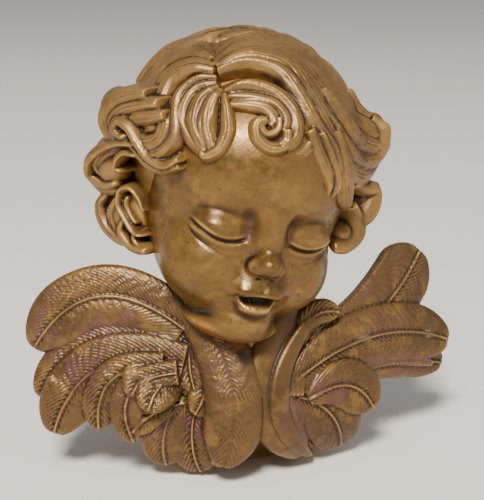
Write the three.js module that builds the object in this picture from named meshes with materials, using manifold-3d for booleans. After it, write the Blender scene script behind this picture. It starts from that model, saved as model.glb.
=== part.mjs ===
// A winged putto head: a child's head with curled hair above two folded wings, cast in one piece.
// Millimetres, +Z up. The face looks along -Y, +X is on the right of someone who faces it.
// The origin is the middle of the underside, on the surface that the two lower wing lobes stand on.

import * as THREE from "three";
import { LoftGeometry } from "three/addons/geometries/LoftGeometry.js";
import { mergeVertices } from "three/addons/utils/BufferGeometryUtils.js";
import Module from "manifold-3d";

const wasm = await Module();
wasm.setup();

// Driving sizes
const HEAD_HEIGHT = 134; // chin to crown, without the hair
const HEAD_TILT = 12; // degrees, the crown leans to the right
const HEAD_TURN = 3; // degrees, the face turns to the right
const HEAD_BOW = 2; // degrees, the face looks down
const HALF_SPAN = 112; // middle of the neck to the tip of a wing
const WING_HEIGHT = 103; // foot to the top of a wing
const WING_THICKNESS = 8; // an outer feather, from back to front
const WING_FRONT = 36; // how far the wings come forward at the neck
const FOOT_DEPTH = 42; // each foot, from front to back
const FOOT_WIDTH = 40; // each foot, across
const FOOT_SPACING = 60; // between the middles of the two feet
const NECK_RADIUS = 27;
const COLLAR_HEIGHT = 72; // where the chin comes down to the wings

// The head and its hair are drawn in head units, 134 to the head's height.
const HEAD_UNIT = HEAD_HEIGHT / 134;
const CHIN_DROP = 62; // head units, from the head's middle to the collar
// The wings are drawn in wing units, 112 to the half span and 103 to the height.
const WING_X = HALF_SPAN / 112;
const WING_Z = WING_HEIGHT / 103;

const vec = (x, y, z) => new THREE.Vector3(x, y, z);
const radians = THREE.MathUtils.degToRad;
const mix = THREE.MathUtils.lerp;

// Solids from closed surfaces

function toSolid(geometry) {
  const bare = new THREE.BufferGeometry();
  bare.setAttribute("position", geometry.getAttribute("position"));
  bare.setIndex(geometry.getIndex());
  const merged = mergeVertices(bare, 1e-4);
  const faces = [];
  for (let i = 0; i < merged.index.count; i += 3) {
    const face = [0, 1, 2].map((corner) => merged.index.getX(i + corner));
    if (new Set(face).size === 3) faces.push(face);
  }
  const make = (triangles) => {
    const vertProperties = merged.attributes.position.array;
    const triVerts = new Uint32Array(triangles.flat());
    return new wasm.Manifold(new wasm.Mesh({ numProp: 3, vertProperties, triVerts }));
  };
  const solid = make(faces);
  return solid.volume() < 0 ? make(faces.map(([a, b, c]) => [a, c, b])) : solid;
}

const join = (solids) => solids.reduce((all, next) => all.add(next));

// A loft through closed sections. Each end is closed on the middle of its section.
function loftSolid(sections) {
  const middle = (section) => {
    const centre = section.reduce((sum, p) => sum.add(p), vec(0, 0, 0)).divideScalar(section.length);
    return section.map(() => centre.clone());
  };
  return toSolid(new LoftGeometry([middle(sections[0]), ...sections, middle(sections.at(-1))]));
}

// Distance functions of the head, in head units. The face is a smooth join of rounded masses.

function ellipsoid(p, centre, radii) {
  const q = p.clone().sub(centre).divide(radii);
  const near = q.length();
  const slope = q.divide(radii).length();
  return slope < 1e-9 ? -Math.min(radii.x, radii.y, radii.z) : (near * (near - 1)) / slope;
}

function blend(a, b, softness) {
  const share = Math.max(softness - Math.abs(a - b), 0) / softness;
  return Math.min(a, b) - (share * share * softness) / 4;
}

const carve = (a, b, softness) => -blend(-a, b, softness);

const pair = (x, y, z) => [vec(-x, y, z), vec(x, y, z)];

// Rounded masses: [centres, radii, softness of the join]
const MASSES = [
  [[vec(0, -14, -21)], vec(40.5, 36, 34), 14], // jaw
  [[vec(0, -13, 22)], vec(43, 41, 38), 12], // forehead
  [pair(20, -28, -25), vec(19.5, 20, 19), 9], // cheeks
  [[vec(0, -41, -48)], vec(12, 9.5, 8), 9], // chin
  [[vec(0, -22, -54)], vec(23, 24, 8.5), 7], // second chin
  [[vec(0, -49, -30)], vec(13, 8, 8), 8], // muzzle
];
const SOCKETS = [pair(20, -60, -1), vec(15, 12.5, 8), 8];
const FEATURES = [
  [[vec(0, -51.5, -6)], vec(4.4, 6, 14), 9], // bridge of the nose
  [[vec(0, -58, -16.5)], vec(5.7, 6, 5), 4.5], // tip of the nose
  [pair(5.4, -55, -18.6), vec(3.5, 4.4, 3.3), 2.5], // wings of the nose
  [pair(21.2, -41.8, -4), vec(11, 8.8, 6.8), 3], // closed eyes
  [pair(4.2, -54, -30.6), vec(6.4, 3.6, 2.6), 2.2], // upper lip
  [[vec(0, -51.6, -38.2)], vec(7.2, 4.2, 2.7), 2], // lower lip
];
const MOUTH = [[vec(0, -58, -34.6)], vec(9.5, 8, 2.8), 2];

function face(p) {
  let d = ellipsoid(p, vec(0, 6, 14), vec(50, 58, 58)); // skull
  for (const [centres, radii, softness] of MASSES)
    for (const centre of centres) d = blend(d, ellipsoid(p, centre, radii), softness);
  for (const centre of SOCKETS[0]) d = carve(d, ellipsoid(p, centre, SOCKETS[1]), SOCKETS[2]);
  for (const [centres, radii, softness] of FEATURES)
    for (const centre of centres) d = blend(d, ellipsoid(p, centre, radii), softness);
  return carve(d, ellipsoid(p, MOUTH[0][0], MOUTH[1]), MOUTH[2]);
}

// The hair cap stands out from the skull behind the hairline.
const scalp = (p) => Math.min(face(p), ellipsoid(p, vec(0, 15, 22), vec(56, 57, 58)));

const HEAD_ORIGIN = vec(0, 0, 8); // the hair's places are seen from here
const FACE_ORIGIN = vec(0, -8, -16); // low in the head, behind the nose

// Where a ray from inside the head meets the surface.
function onSurface(direction, surface) {
  let reach = 120;
  for (let step = 0; step < 60; step++) {
    const p = FACE_ORIGIN.clone().addScaledVector(direction, reach);
    const d = surface(p);
    reach -= 0.85 * d;
    if (Math.abs(d) < 0.01) break;
  }
  return FACE_ORIGIN.clone().addScaledVector(direction, reach);
}

// Longitude 0 is the front and 90 the right side. Latitude is above the middle of the head.
function direction(longitude, latitude) {
  const lon = radians(longitude);
  const lat = radians(latitude);
  return vec(Math.sin(lon) * Math.cos(lat), -Math.cos(lon) * Math.cos(lat), Math.sin(lat));
}

const headPose = new THREE.Matrix4()
  .makeRotationZ(radians(HEAD_TURN))
  .multiply(new THREE.Matrix4().makeRotationY(radians(HEAD_TILT)))
  .multiply(new THREE.Matrix4().makeRotationX(radians(HEAD_BOW)))
  .scale(vec(HEAD_UNIT, HEAD_UNIT, HEAD_UNIT))
  .setPosition(-2, -2, COLLAR_HEIGHT + CHIN_DROP * HEAD_UNIT);

// The head: a sphere whose rings crowd round the nose, drawn out to the surface of the face.
function headSolid() {
  const AROUND = 36;
  const RINGS = 22;
  const geometry = new THREE.SphereGeometry(1, AROUND, RINGS);
  const position = geometry.getAttribute("position");
  const toFace = new THREE.Matrix4().makeRotationX(radians(180 + 6));
  const p = vec(0, 0, 0);
  for (let i = 0; i < position.count; i++) {
    p.fromBufferAttribute(position, i).normalize();
    const polar = Math.acos(THREE.MathUtils.clamp(p.y, -1, 1)) / Math.PI;
    const crowded = Math.PI * (0.36 * polar + 0.64 * polar ** 2.3);
    const around = Math.atan2(p.z, p.x);
    p.set(Math.sin(crowded) * Math.cos(around), Math.cos(crowded), Math.sin(crowded) * Math.sin(around));
    p.applyMatrix4(toFace);
    const surface = onSurface(p, scalp).applyMatrix4(headPose);
    position.setXYZ(i, surface.x, surface.y, surface.z);
  }
  return toSolid(geometry);
}

// Curved ribbons: locks of hair and feathers are lofts along a path that lies over a surface.

// Half the width along a ribbon, as a share of its widest: it swells from the root to widest,
// keeps its width until close, and then comes in, round where point is 0.5 and sharp where it is 1.
function taper(t, root, widest, close, point) {
  const swell = mix(root, 1, Math.sin((Math.PI / 2) * Math.min(t / widest, 1)));
  const narrow = Math.max(1 - (Math.max(t - close, 0) / (1.03 - close)) ** 2, 0);
  return swell * narrow ** point;
}

// at(t) is the path, outward(p) the way the surface faces, outline(half, t) the section's points.
function ribbon(shape) {
  const { at, outward, steps, width, outline, matrix } = shape;
  const { root = 0.5, widest = 0.5, close = 0.55, point = 0.5 } = shape;
  const sections = [];
  for (let step = 0; step <= steps; step++) {
    const t = step / steps;
    const p = at(t);
    const along = at(Math.min(t + 0.01, 1)).sub(at(Math.max(t - 0.01, 0))).normalize();
    const out = outward(p);
    const across = vec(0, 0, 0).crossVectors(along, out).normalize();
    out.crossVectors(across, along).normalize();
    const half = (width / 2) * taper(t, root, widest, close, point);
    const ring = outline(half, t).map(([u, v]) =>
      p.clone().addScaledVector(across, u).addScaledVector(out, v).applyMatrix4(matrix),
    );
    sections.push(ring);
  }
  return loftSolid(sections);
}

// A lock's section: a bed sunk into the hair below it, and a rounded back with strands.
function lockOutline(height, sunk, strands) {
  return (half, t) => {
    const share = half > 0 ? Math.min(1, half / 2) : 0;
    const points = [[-half, -sunk], [half, -sunk]];
    const count = 2 * strands + 1;
    for (let i = 0; i < count; i++) {
      const angle = (Math.PI * i) / (count - 1);
      const rise = i % 2 ? 1 : 0.84;
      points.push([half * Math.cos(angle), height * share * rise * Math.sin(angle) + 0.15]);
    }
    return points;
  };
}

// The hair's outer surface is an egg over the skull.
const HAIR_CENTRE = vec(0, 10, 18);
const HAIR_RADII = vec(58, 60, 64);

function onHair(along, lift) {
  const start = HEAD_ORIGIN.clone().sub(HAIR_CENTRE).divide(HAIR_RADII);
  const step = along.clone().normalize().divide(HAIR_RADII);
  const a = step.dot(step);
  const b = 2 * start.dot(step);
  const c = start.dot(start) - 1;
  const reach = (-b + Math.sqrt(b * b - 4 * a * c)) / (2 * a);
  return HEAD_ORIGIN.clone().addScaledVector(along.clone().normalize(), reach + lift);
}

const offHair = (p) => p.clone().sub(HAIR_CENTRE).divide(HAIR_RADII).divide(HAIR_RADII).normalize();

// A lock from its root to its tip. The bow and the swing are shares of its length: a positive bow
// bends to the left of someone who walks from root to tip, and a swing makes an S.
function lock(from, to, { width = 9, height = 4, bow = 0, swing = 0, lift = [0, 0], ...rest }) {
  const start = direction(...from);
  const end = direction(...to);
  const angle = start.angleTo(end);
  const side = vec(0, 0, 0).crossVectors(start, end).normalize();
  const at = (t) => {
    const drift = (bow * 4 * t * (1 - t) + swing * Math.sin(2 * Math.PI * t)) * angle;
    const p = start.clone().multiplyScalar(Math.sin((1 - t) * angle) / Math.sin(angle));
    p.addScaledVector(end, Math.sin(t * angle) / Math.sin(angle)).addScaledVector(side, drift);
    return onHair(p, mix(lift[0], lift[1], t));
  };
  const length = HAIR_RADII.x * angle * (1 + 2 * bow * bow);
  const steps = Math.max(4, Math.round(length / 18));
  const outline = lockOutline(height, rest.sunk ?? 3, rest.strands ?? 1);
  return [ribbon({ at, outward: offHair, steps, width, outline, matrix: headPose, ...rest })];
}

// A curl winds in round its centre: reach is its radius outside and inside, turn is positive
// anticlockwise. A long one is made of lengths that overlap, and a bead closes its eye.
function curl(centre, { reach, start, turn, width = 8, height = 4, lift = [0, 0], eye = 0, ...rest }) {
  const middle = direction(...centre);
  const east = vec(-middle.y, middle.x, 0).normalize();
  const north = vec(0, 0, 0).crossVectors(middle, east);
  const lengths = Math.ceil(Math.abs(turn) / 190);
  const solids = [];
  const spot = (t) => {
    const angle = radians(start + turn * t);
    const radius = mix(reach[0], reach[1], t) / HAIR_RADII.x;
    const p = middle.clone().addScaledVector(east, Math.cos(angle) * radius);
    return onHair(p.addScaledVector(north, Math.sin(angle) * radius), mix(lift[0], lift[1], t));
  };
  for (let i = 0; i < lengths; i++) {
    const at = (t) => spot(Math.min((i + t * 1.06) / lengths, 1));
    const steps = Math.max(5, Math.round(Math.abs(turn) / lengths / 38));
    const outline = lockOutline(height, rest.sunk ?? 3, rest.strands ?? 1);
    const ends = i === lengths - 1 ? {} : { close: 0.9 };
    solids.push(ribbon({ at, outward: offHair, steps, width, outline, matrix: headPose, ...rest, ...ends }));
  }
  if (eye > 0) solids.push(mound(onHair(middle, mix(lift[0], lift[1], 1)).applyMatrix4(headPose), vec(eye, eye, eye), 6));
  return solids;
}

// A rounded mass.
function mound(centre, radii, around = 14) {
  const geometry = new THREE.SphereGeometry(1, around, Math.max(5, Math.round(around * 0.55)));
  geometry.scale(radii.x, radii.y, radii.z);
  geometry.translate(centre.x, centre.y, centre.z);
  return toSolid(geometry);
}

function hair() {
  const locks = [];
  const add = (...solids) => locks.push(...solids.flat());

  // From the parting over the crown to the right, then down beside the face
  for (let i = 0; i < 4; i++) {
    const from = [-50 - 10 * i, 57 + 3 * i];
    const to = [35 + 13 * i, 22 + 3 * i];
    add(lock(from, to, { width: 15, height: 3.5, bow: 0.2 - 0.03 * i, root: 0.4, strands: 2 }));
  }
  add(lock([-44, 54], [31, 18], { width: 9, height: 5, bow: 0.34, lift: [0, -1] }));
  add(lock([12, 36], [28, 7], { width: 10, height: 4, bow: 0.12, root: 0.6, point: 1 }));

  // The large curl over the forehead, right of the parting
  const large = { reach: [18, 10], start: 165, turn: -290, strands: 2 };
  add(curl([-11, 41], { ...large, width: 10, height: 6, lift: [-2, 0] }));
  add(curl([-15, 39], { reach: [7, 2], start: 150, turn: -190, width: 6, height: 4.5, eye: 3 }));

  // The forelock left of the parting
  add(lock([-43, 46], [-39, 18], { width: 12, height: 6, bow: -0.3, point: 1 }));
  add(lock([-33, 42], [-38, 20], { width: 8, height: 5, bow: -0.12, point: 1 }));
  add(lock([-46, 50], [-52, 22], { width: 9, height: 5, bow: -0.36, point: 0.8 }));

  // The wave that rolls down past the temple and ends in a curl
  for (const shift of [0, 9]) {
    const to = [-72 - shift, 20 + shift];
    add(lock([-50 - shift, 50 + shift], to, { width: 11, height: 5, swing: 0.1, close: 0.8 }));
  }
  add(lock([-62, 30], [-106, 27], { width: 10, height: 6, bow: 0.4, lift: [0, 6], close: 0.8 }));
  add(curl([-111, 20], { reach: [10, 4], start: -60, turn: 330, width: 8, height: 5, lift: [8, 9], sunk: 9, eye: 5 }));

  // The mass left of the crown and the curls beside and behind the ear
  for (let i = 0; i < 3; i++) {
    const to = [-98 - 12 * i, 30 - 2 * i];
    add(lock([-62 - 14 * i, 62], to, { width: 16, height: 6, bow: 0.1, lift: [0, 5], close: 0.75 }));
  }
  const curls = [
    { at: [-114, 26], reach: 15, start: 80, turn: 300, high: 10 },
    { at: [-108, -2], reach: 14, start: 60, turn: 300, high: 10 },
    { at: [-105, -28], reach: 13, start: 80, turn: 260, high: 7 },
    { at: [70, 3], reach: 9, start: 150, turn: -300, high: 8 },
    { at: [66, -15], reach: 8, start: 120, turn: -250, high: 7 },
  ];
  for (const { at, reach, start, turn, high } of curls) {
    const band = { reach: [reach, reach * 0.42], start, turn, width: 0.75 * reach };
    add(curl(at, { ...band, height: 5, lift: [high / 2, high], sunk: high, eye: reach * 0.4 }));
    const bed = onHair(direction(...at), high * 0.1).applyMatrix4(headPose);
    add(mound(bed, vec(reach * 0.9, reach * 0.9, reach * 0.9), 8));
  }

  // The lock that flicks up at the right
  add(lock([38, 52], [76, 36], { width: 17, height: 5, bow: 0.2, lift: [0, 13], sunk: 8, point: 0.8 }));
  add(lock([46, 30], [76, 33], { width: 13, height: 5, bow: 0.25, lift: [0, 12], sunk: 9, point: 0.9 }));

  // Plainer waves down the back, in two rows
  for (let i = 0; i < 5; i++) {
    const lon = 100 + 35 * i;
    const bow = i % 2 ? 0.14 : -0.14;
    add(lock([lon - 12, 68], [lon, 12], { width: 28, height: 5, bow, close: 0.7 }));
    add(lock([lon + 12, 18], [lon + 8, -34], { width: 26, height: 5, swing: 0.12, point: 0.7 }));
  }
  return locks;
}

// Wings. They are drawn from the front on a curved sheet that goes back towards the tips of the
// wings, towards their top and, below the swell of the feet, towards the ground.
function sheet(x, z) {
  const outwards = 36 * Math.min(Math.abs(x) / 105, 1.2) ** 1.3;
  const upwards = 0.25 * Math.max(0, z - 45);
  const downwards = 0.02 * Math.max(0, 28 - z) ** 2;
  return -WING_FRONT + outwards + upwards + downwards;
}

const wingPose = new THREE.Matrix4().makeScale(WING_X, 1, WING_Z);
const inWings = (x, y, z) => vec(x, y, z).applyMatrix4(wingPose);

function offSheet(p) {
  const dx = sheet(p.x + 1, p.z) - sheet(p.x - 1, p.z);
  const dz = sheet(p.x, p.z + 1) - sheet(p.x, p.z - 1);
  return vec(dx / 2, -1, dz / 2).normalize();
}

// A feather's section: a thin leaf with a raised quill, or a plump one that stands out by plump.
function featherOutline(thickness, plump) {
  return (half) => {
    const t = Math.min(thickness, half);
    const rise = plump * Math.min(1, half / 8);
    return [
      [-half, -t * 0.25],
      [-half * 0.55, -t],
      [half * 0.55, -t],
      [half, -t * 0.25],
      [half * 0.5, rise * 0.8],
      [0, rise + (plump > 0 ? 0 : t * 0.25)],
      [-half * 0.5, rise * 0.8],
    ];
  };
}

// A feather from root to tip, in wing units. The lift is how far it stands out at the front.
function feather(from, to, { width, bow = 0, swing = 0, lift = [0, 0], thick = WING_THICKNESS, plump = 0, ...rest }) {
  const [x0, z0] = from;
  const [x1, z1] = to;
  const at = (t) => {
    const drift = bow * 4 * t * (1 - t) + swing * Math.sin(2 * Math.PI * t);
    const x = mix(x0, x1, t) - drift * (z1 - z0);
    const z = mix(z0, z1, t) + drift * (x1 - x0);
    return vec(x, sheet(x, z) - mix(lift[0], lift[1], t), z);
  };
  const steps = Math.max(4, Math.round((Math.hypot(x1 - x0, z1 - z0) * (1 + 2 * bow * bow)) / 14.5));
  const outline = featherOutline(thick, plump);
  return ribbon({ at, outward: offSheet, steps, width, outline, matrix: wingPose, ...rest });
}

// A feather that winds in round its centre, in wing units. The reach is its radius outside and inside.
function coil([x0, z0], { reach, start, turn, width, lift }) {
  const at = (t) => {
    const angle = radians(start + turn * t);
    const radius = mix(reach[0], reach[1], t);
    const x = x0 + radius * Math.cos(angle);
    const z = z0 + radius * Math.sin(angle);
    return vec(x, sheet(x, z) - mix(lift[0], lift[1], t), z);
  };
  const outline = featherOutline(WING_THICKNESS, 2);
  return ribbon({ at, outward: offSheet, steps: 11, width, outline, matrix: wingPose, close: 0.8 });
}

function wings() {
  const w = [];
  const add = (from, to, shape) => w.push(feather(from, to, { close: 0.72, ...shape }));
  // Left wing: two long feathers with a short one between them
  add([-34, 76], [-104, 64], { width: 31, bow: -0.29, root: 0.8 });
  add([-38, 64], [-103, 40], { width: 24, bow: -0.2, lift: [0, -2], root: 0.8 });
  add([-36, 60], [-97, 22], { width: 29, bow: -0.25, lift: [3, 1], root: 0.7 });
  // Shorter ones that roll in towards a small coil over the foot
  add([-46, 60], [-76, 27], { width: 19, bow: -0.28, lift: [6, 4], root: 0.7 });
  add([-40, 58], [-60, 22], { width: 17, bow: -0.34, lift: [8, 6], root: 0.7 });
  w.push(coil([-48, 47], { reach: [10, 4], start: 0, turn: 400, width: 10, lift: [6, 12] }));
  w.push(mound(inWings(-48, sheet(-48, 47) - 6, 47), vec(8, 7, 8), 8));
  add([-34, 44], [-43, 8], { width: 24, bow: -0.16, lift: [0, 5], root: 0.5 });
  add([-26, 40], [-23, 4], { width: 25, bow: -0.12, lift: [-1, 5], root: 0.5 });
  // The plump roll from under the cheek, and the lobe that comes out below it
  const soft = { thick: 14, root: 0.7, close: 0.6 };
  add([-32, 98], [-14, 37], { ...soft, width: 33, bow: 0.06, lift: [-3, 3], plump: 8 });
  add([-18, 42], [-13, 9], { ...soft, width: 25, bow: 0.2, lift: [-3, 1], plump: 5 });
  // Right wing: two long feathers, and the fold of one below them
  add([20, 66], [99, 99], { width: 37, bow: -0.15, root: 0.35, widest: 0.85, close: 0.84 });
  add([40, 50], [113, 36], { width: 21, bow: 0.05, lift: [-2, -2], root: 0.8 });
  add([17, 50], [115, 49], { width: 31, bow: 0.13, lift: [3, 3], root: 0.55 });
  // One that rolls up, one below it, and a small leaf under the cheek
  add([24, 40], [61, 27], { width: 26, bow: 0.26, lift: [5, 8], root: 0.5 });
  add([18, 42], [46, 6], { width: 32, bow: 0.14, lift: [3, 4], root: 0.6, close: 0.65 });
  add([24, 67], [43, 79], { width: 13, bow: 0.32, lift: [4, 8], root: 0.5 });
  // Quills that sweep down together beside the rim
  for (let i = 0; i < 4; i++) {
    const from = [22 + 6 * i, 70 - i];
    const to = [11 + 2.7 * i, 44 - 0.5 * i];
    add(from, to, { width: 4.5, bow: -0.24, lift: [6, 6], thick: 5, plump: 1.8, close: 0.8 });
  }
  // The smooth rim from under the right cheek, and its broad inner side
  add([30, 80], [30, 5], { ...soft, width: 11, bow: -0.3, lift: [5, 5], plump: 3 });
  add([22, 84], [24, 8], { ...soft, width: 27, bow: -0.24, lift: [-2, 2], plump: 6 });
  return w;
}

function body() {
  const b = [];
  for (const side of [-1, 1]) {
    const x = (side * FOOT_SPACING) / 2;
    b.push(mound(vec(x, -6, 26), vec(FOOT_WIDTH * 0.5, FOOT_DEPTH * 0.6, 28), 9));
    b.push(mound(inWings(side * 42, -3, 54), inWings(36, 11, 22), 9));
  }
  b.push(mound(inWings(-31, -19, 52), inWings(17, 10, 24), 9));
  // The plain back, which comes down to the ground between the feet
  b.push(mound(vec(0, 3, 28), vec(FOOT_SPACING * 0.78, FOOT_DEPTH * 0.62, 37), 12));
  b.push(mound(inWings(0, -8, 52), inWings(34, 26, 32), 9));
  b.push(mound(vec(-1, 2, COLLAR_HEIGHT + 6), vec(NECK_RADIUS + 6, NECK_RADIUS + 8, 26), 10));
  return b;
}

// Everything above the ground, as one solid with its underside at height 0
const pieces = [headSolid(), ...hair(), ...wings(), ...body()];
const whole = join(pieces);
const below = new THREE.BoxGeometry(400, 400, 100);
below.translate(0, 0, -50);
const standing = whole.subtract(toSolid(below));
const cast = standing.decompose().reduce((a, b) => (a.volume() > b.volume() ? a : b));

const result = cast.getMesh();
const form = new THREE.BufferGeometry();
form.setAttribute("position", new THREE.BufferAttribute(new Float32Array(result.vertProperties), 3));
form.setIndex(new THREE.BufferAttribute(new Uint32Array(result.triVerts), 1));
form.computeBoundingBox();
const middle = form.boundingBox.getCenter(vec(0, 0, 0));
form.translate(-middle.x, -middle.y, 0);
form.computeVertexNormals();

const bronze = new THREE.MeshStandardMaterial({ color: 0x9a7440, roughness: 0.45, metalness: 0.55 });
const mesh = new THREE.Mesh(form, bronze);
mesh.name = "winged_putto_head";
const root = new THREE.Group();
root.name = "winged_putto_head_cast";
root.add(mesh);
export default root;
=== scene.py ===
# %% [markdown]
# # A winged putto head
# A child's head with closed eyes, an open mouth and curled hair leans over two folded wings.
# The cast is painted bronze-gold over a purple-brown ground, which shows where the gold has
# worn thin. Here the face, the hair and the wings are drawn as surfaces, cut with strands and
# barbs, and fused into a few skins that stand for the one solid of the part.

# %% Load the frame
import bpy
import math
import numpy as np
from mathutils import Matrix, Vector


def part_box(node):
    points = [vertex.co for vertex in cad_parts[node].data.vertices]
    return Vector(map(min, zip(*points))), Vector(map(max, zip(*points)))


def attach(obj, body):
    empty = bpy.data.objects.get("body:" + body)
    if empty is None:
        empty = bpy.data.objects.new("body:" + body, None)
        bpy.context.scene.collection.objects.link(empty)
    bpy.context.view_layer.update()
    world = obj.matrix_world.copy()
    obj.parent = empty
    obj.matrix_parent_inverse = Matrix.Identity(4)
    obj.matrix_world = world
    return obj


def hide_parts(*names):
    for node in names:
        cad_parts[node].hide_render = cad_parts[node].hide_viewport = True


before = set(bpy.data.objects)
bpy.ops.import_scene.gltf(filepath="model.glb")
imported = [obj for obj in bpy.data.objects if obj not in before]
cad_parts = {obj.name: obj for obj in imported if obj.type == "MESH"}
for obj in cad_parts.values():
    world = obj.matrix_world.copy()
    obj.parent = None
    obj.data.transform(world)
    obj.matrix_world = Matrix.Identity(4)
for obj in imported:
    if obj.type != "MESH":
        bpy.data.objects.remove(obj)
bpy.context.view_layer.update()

bpy.ops.object.select_all(action="DESELECT")
rng = np.random.default_rng(11)

# %% [markdown]
# ## Sizes
# Shapes are drawn in millimetres in the drawing frame of the solid, where the neck is at the
# middle. The solid's own origin is the middle of its box, so the last step shifts everything.
# The head leans to the right by 12 degrees, turns by 3 and bows by 2. The sizes below are the
# ones that the face, the hair and the wings share, so they are written once, before all else.

# %% Sizes
TILT, TURN, BOW = 12, 3, 2
HEAD_AT = np.array([-2.0, -2.0, 134.0])

# From the drawing frame to the middle of the solid's box
SHIFT = np.array([-4.09, -3.04, 0.0])

# The egg that the locks lie on, and the point inside it from which places on it are seen
HAIR_CENTRE = np.array([0.0, 10.0, 18.0])
HAIR_RADII = np.array([58.0, 60.0, 64.0])
RAYS_FROM = np.array([0.0, 0.0, 8.0])

# How far the wings stand before the neck, and the two lowest lobes, which are the feet
WING_FRONT = 36.0
FOOT_SPACING, FOOT_WIDTH, FOOT_DEPTH = 60.0, 40.0, 42.0


def turn_about(axis, degrees):
    return np.array(Matrix.Rotation(math.radians(degrees), 3, axis))


POSE = turn_about("Z", TURN) @ turn_about("Y", TILT) @ turn_about("X", BOW)


def v(*xyz):
    return np.array(xyz, dtype=float)


def from_head(points):
    return points @ POSE.T + HEAD_AT


def unit(a):
    return a / np.maximum(np.linalg.norm(a, axis=-1, keepdims=True), 1e-9)


def ease(a, low, high):
    t = np.clip((a - low) / (high - low), 0, 1)
    return t * t * (3 - 2 * t)


print("the head leans, turns and bows by", TILT, TURN, BOW, "degrees")

# %% [markdown]
# ## The face
# On the real piece the face is soft, with round cheeks, closed lids and parted lips that run
# into each other without a seam. It could be sculpted by hand with brushes. Here it is a smooth
# join of rounded masses, because each mass then keeps a size and a place that can be changed.
# Each mass is a distance function, and rays from inside the head find the surface.

# %% The face
def egg(p, centre, radii):
    q = (p - centre) / radii
    near = np.linalg.norm(q, axis=-1)
    slope = np.linalg.norm(q / radii, axis=-1)
    return near * (near - 1) / np.maximum(slope, 1e-9)


def blend(a, b, softness):
    share = np.maximum(softness - np.abs(a - b), 0) / softness
    return np.minimum(a, b) - share * share * softness / 4


def carve(a, b, softness):
    return -blend(-a, b, softness)


def face(p):
    """Distance to the face. Masses on q come in pairs, one each side of the middle."""
    q = p.copy()
    q[..., 0] = np.abs(q[..., 0])
    d = egg(p, v(0, 6, 14), v(50, 58, 58))  # skull
    d = blend(d, egg(p, v(0, -14, -21), v(40.5, 36, 34)), 14)  # jaw
    d = blend(d, egg(p, v(0, -13, 22), v(43, 41, 38)), 12)  # forehead
    d = blend(d, egg(q, v(20, -28, -25), v(19.5, 20, 19)), 9)  # cheeks
    d = blend(d, egg(p, v(0, -41, -48), v(12, 9.5, 8)), 9)  # chin
    d = blend(d, egg(p, v(0, -22, -54), v(23, 24, 8.5)), 7)  # under the chin
    d = blend(d, egg(p, v(0, -49, -30), v(13, 8, 8)), 8)  # muzzle
    d = carve(d, egg(q, v(20, -60, -1), v(15, 12.5, 8)), 8)  # eye sockets
    d = carve(d, egg(q, v(11.5, -54, -1.5), v(4.5, 6, 6)), 5)  # inner corners of the eyes
    d = blend(d, egg(p, v(0, -51.5, -6), v(4.4, 6, 14)), 9)  # bridge of the nose
    d = blend(d, egg(p, v(0, -58, -16.5), v(5.7, 6.0, 5.0)), 4.5)  # tip of the nose
    d = blend(d, egg(q, v(5.4, -55, -18.6), v(3.5, 4.4, 3.3)), 2.5)  # wings of the nose
    d = carve(d, egg(q, v(3.5, -58.5, -23), v(1.8, 3.5, 1.5)), 1.4)  # nostrils
    d = blend(d, egg(q, v(21.2, -41.8, -4), v(11, 8.6, 6.4)), 5)  # closed lids
    d = blend(d, egg(q, v(4.2, -54, -30.6), v(6.4, 3.4, 2.6)), 3)  # upper lip
    d = blend(d, egg(p, v(0, -50.8, -39.4), v(7.2, 3.8, 2.8)), 3.5)  # lower lip
    d = carve(d, egg(p, v(0, -58, -34.9), v(9.6, 14, 2.9)), 1.6)  # open mouth
    d = carve(d, egg(p, v(0, -59.5, -27), v(1.6, 3.2, 4)), 2.2)  # groove over the lip
    return d


def face_lines(p):
    """Small engraved lines: how far the surface sinks, in millimetres."""
    x, y, z = np.abs(p[..., 0]), p[..., 1], p[..., 2]
    front = ease(-y, 20, 35)
    span = np.clip((x - 22.5) / 11.5, -1.15, 1.15)
    lash = -6.3 - 3.4 * (1 - span**2) + 1.6 * span
    on_lid = 1 - ease(np.abs(span), 0.86, 1.12)
    sink = 1.15 * on_lid * np.exp(-(((z - lash) / 0.75) ** 2))
    sink -= 0.6 * on_lid * np.exp(-(((z - lash - 1.8) / 1.0) ** 2))
    sink -= 0.7 * on_lid * np.exp(-(((z - lash + 2.2) / 1.1) ** 2))
    fold = 4.2 - 2.2 * span**2 + 1.0 * span
    sink += 0.2 * on_lid * np.exp(-(((z - fold) / 1.1) ** 2))
    below = lash - 6.0 + 1.5 * span
    sink += 0.35 * on_lid * np.exp(-(((z - below) / 1.3) ** 2))
    corner = np.hypot(x - 12.5, z + 26 + 0.5 * (x - 12.5))
    sink += 0.7 * np.exp(-((corner / 2.8) ** 2))
    mouth_corner = np.hypot(x - 10.2, z + 34.8)
    sink += 1.4 * np.exp(-((mouth_corner / 2.0) ** 2))
    return sink * front


FACE_FROM = v(0, -8, -16)
POLE_TURN = 180 + 6


def to_surface(directions, distance, steps=50):
    reach = np.full(directions.shape[:-1], 120.0)
    for _ in range(steps):
        reach -= 0.7 * distance(FACE_FROM + directions * reach[..., None])
    return reach


# %% [markdown]
# ## Grids and skins
# Every shape is a grid of points: rows run along it, columns go round it. A row closes on
# itself, and the two ends close on their middles, so that each shape is a watertight skin.
# That matters for the fusing later, which fills closed shapes and joins them.

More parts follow.
